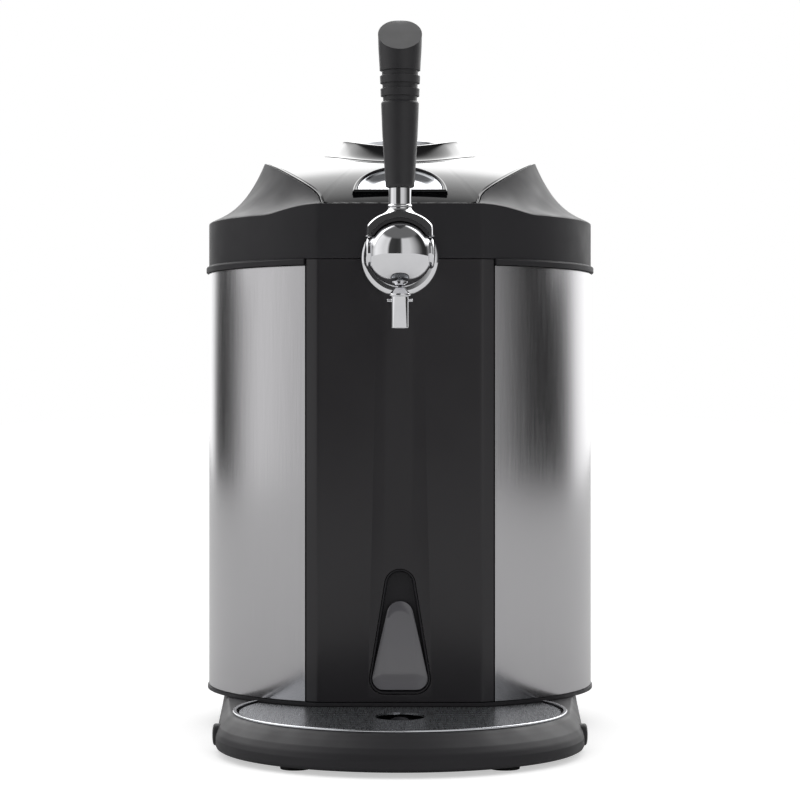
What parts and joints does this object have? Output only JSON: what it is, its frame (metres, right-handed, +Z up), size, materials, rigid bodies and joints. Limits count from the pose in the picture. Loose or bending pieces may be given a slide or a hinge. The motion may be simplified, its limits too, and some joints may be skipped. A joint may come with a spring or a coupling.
{
  "type": "mini keg beer dispenser",
  "caption": "Tabletop cooler that holds a small beer keg upright, with a lever tap on its front, a hinged lid and a lift-out drip tray.",
  "frame": {"origin": "the middle of the outline, on the surface that the feet stand on", "axes": "+Z up, -Y towards the tap, +X to the right as seen from the tap's side"},
  "size_m": [0.2628, 0.4216, 0.4535],
  "materials": {
    "satin_black_abs": "moulded satin black ABS, fine texture",
    "gloss_black_abs": "piano black gloss ABS",
    "handle_soft_black": "soft satin black plastic",
    "soft_black_button": "matt black rubber",
    "satin_stainless_steel": "satin stainless sheet, smooth broad reflections",
    "polished_stainless_steel": "polished stainless sheet",
    "chrome_plated_brass": "mirror chrome plate",
    "silver_plated_trim": "silver plated trim",
    "aluminium": "plain aluminium",
    "insulation_foam": "moulded rigid foam",
    "black_rubber": "matt black rubber",
    "smoked_lens": "smoked glossy lens",
    "white_ceramic": "white ceramic plate",
    "circuit_board_green": "green circuit board with parts",
    "clear_hose": "clear food-grade hose"
  },
  "bodies": {
    "cabinet": {"base_shell": "satin_black_abs", "foot_front_left": "black_rubber", "foot_front_right": "black_rubber", "foot_rear_left": "black_rubber", "foot_rear_right": "black_rubber", "tray_rim": "silver_plated_trim", "body_floor": "satin_black_abs", "body_frame": "satin_black_abs", "steel_panel_left": "satin_stainless_steel", "steel_panel_right": "satin_stainless_steel", "front_panel": "satin_black_abs", "window_dish": "gloss_black_abs", "window_lens": "smoked_lens", "lamp_board": "circuit_board_green", "keg_well": "aluminium", "keg_pad": "black_rubber", "insulation": "insulation_foam", "cold_block": "aluminium", "peltier_module": "white_ceramic", "heat_sink": "aluminium", "fan_frame": "satin_black_abs", "rear_housing": "satin_black_abs", "rear_grille": "satin_black_abs", "gas_regulator": "silver_plated_trim", "power_inlet": "gloss_black_abs", "switch_frame": "gloss_black_abs", "power_board": "circuit_board_green", "collar": "satin_black_abs", "hinge_bracket": "satin_black_abs", "hinge_pin": "satin_stainless_steel", "tap_flange": "chrome_plated_brass", "tap_shank": "chrome_plated_brass", "shank_nut": "satin_stainless_steel", "tap_body": "chrome_plated_brass", "tap_spout": "chrome_plated_brass", "spout_pin": "chrome_plated_brass", "beer_line": "clear_hose", "line_connector": "silver_plated_trim"},
    "tap_lever": {"tap_yoke": "chrome_plated_brass", "yoke_liner": "handle_soft_black", "handle_ferrule": "chrome_plated_brass", "tap_handle": "handle_soft_black"},
    "lid": {"lid_shell": "gloss_black_abs", "lid_liner": "insulation_foam", "lid_seal": "black_rubber", "grip_bezel": "gloss_black_abs", "grip_insert": "silver_plated_trim", "dial_bezel": "gloss_black_abs"},
    "dial": {"dial_ring": "silver_plated_trim"},
    "button": {"dial_button": "silver_plated_trim"},
    "left_button": {"side_button_left": "soft_black_button"},
    "right_button": {"side_button_right": "soft_black_button"},
    "tray": {"drip_tray": "satin_black_abs"},
    "grate": {"drip_grate": "polished_stainless_steel"},
    "float": {"tray_float": "silver_plated_trim"},
    "fan": {"fan_rotor": "satin_black_abs"},
    "door": {"gas_door": "satin_black_abs"},
    "cup": {"gas_cup": "aluminium"},
    "knob": {"pressure_knob": "handle_soft_black"},
    "rocker": {"power_switch": "handle_soft_black"}
  },
  "joints": [
    {"name": "tap_lever", "type": "hinge", "parent": "cabinet", "child": "tap_lever", "pos_m": [0, -0.1186, 0.3084], "axis": [1, 0, 0], "range_deg": [0, 45]},
    {"name": "lid_hinge", "type": "hinge", "parent": "cabinet", "child": "lid", "pos_m": [0, 0.1639, 0.3455], "axis": [-1, 0, 0], "range_deg": [0, 78]},
    {"name": "dial_turn", "type": "hinge", "parent": "lid", "child": "dial", "pos_m": [0, 0.0534, 0.3875], "axis": [0, 0, 1], "range_deg": [-135, 135]},
    {"name": "dial_press", "type": "slide", "parent": "lid", "child": "button", "axis": [0, 0, -1], "range_m": [0, 0.0015], "stiffness_N_per_m": 3000},
    {"name": "left_button_press", "type": "slide", "parent": "cabinet", "child": "left_button", "axis": [1, 0, 0], "range_m": [0, 0.0018], "stiffness_N_per_m": 1500},
    {"name": "right_button_press", "type": "slide", "parent": "cabinet", "child": "right_button", "axis": [-1, 0, 0], "range_m": [0, 0.0018], "stiffness_N_per_m": 1500},
    {"name": "tray_lift", "type": "slide", "parent": "cabinet", "child": "tray", "axis": [0, 0, 1], "range_m": [0, 0.1]},
    {"name": "grate_lift", "type": "slide", "parent": "tray", "child": "grate", "axis": [0, 0, 1], "range_m": [0, 0.1]},
    {"name": "float_rise", "type": "slide", "parent": "tray", "child": "float", "axis": [0, 0, 1], "range_m": [0, 0.005]},
    {"name": "fan_spin", "type": "hinge", "parent": "cabinet", "child": "fan", "pos_m": [0, 0.1953, 0.145], "axis": [0, 1, 0], "continuous": true},
    {"name": "gas_door_hinge", "type": "hinge", "parent": "cabinet", "child": "door", "pos_m": [0.04, 0.2083, 0.1971], "axis": [-1, 0, 0], "range_deg": [0, 95]},
    {"name": "gas_cup_turn", "type": "hinge", "parent": "cabinet", "child": "cup", "pos_m": [0.043, 0.1914, 0.272], "axis": [0, 0, 1], "range_deg": [0, 90]},
    {"name": "pressure_turn", "type": "hinge", "parent": "cabinet", "child": "knob", "pos_m": [0.0307, 0.1914, 0.28305], "axis": [1, 0, 0], "range_deg": [0, 270]},
    {"name": "power_switch_rock", "type": "hinge", "parent": "cabinet", "child": "rocker", "pos_m": [0.034, 0.2084, 0.052], "axis": [1, 0, 0], "range_deg": [0, 18]}
  ]
}
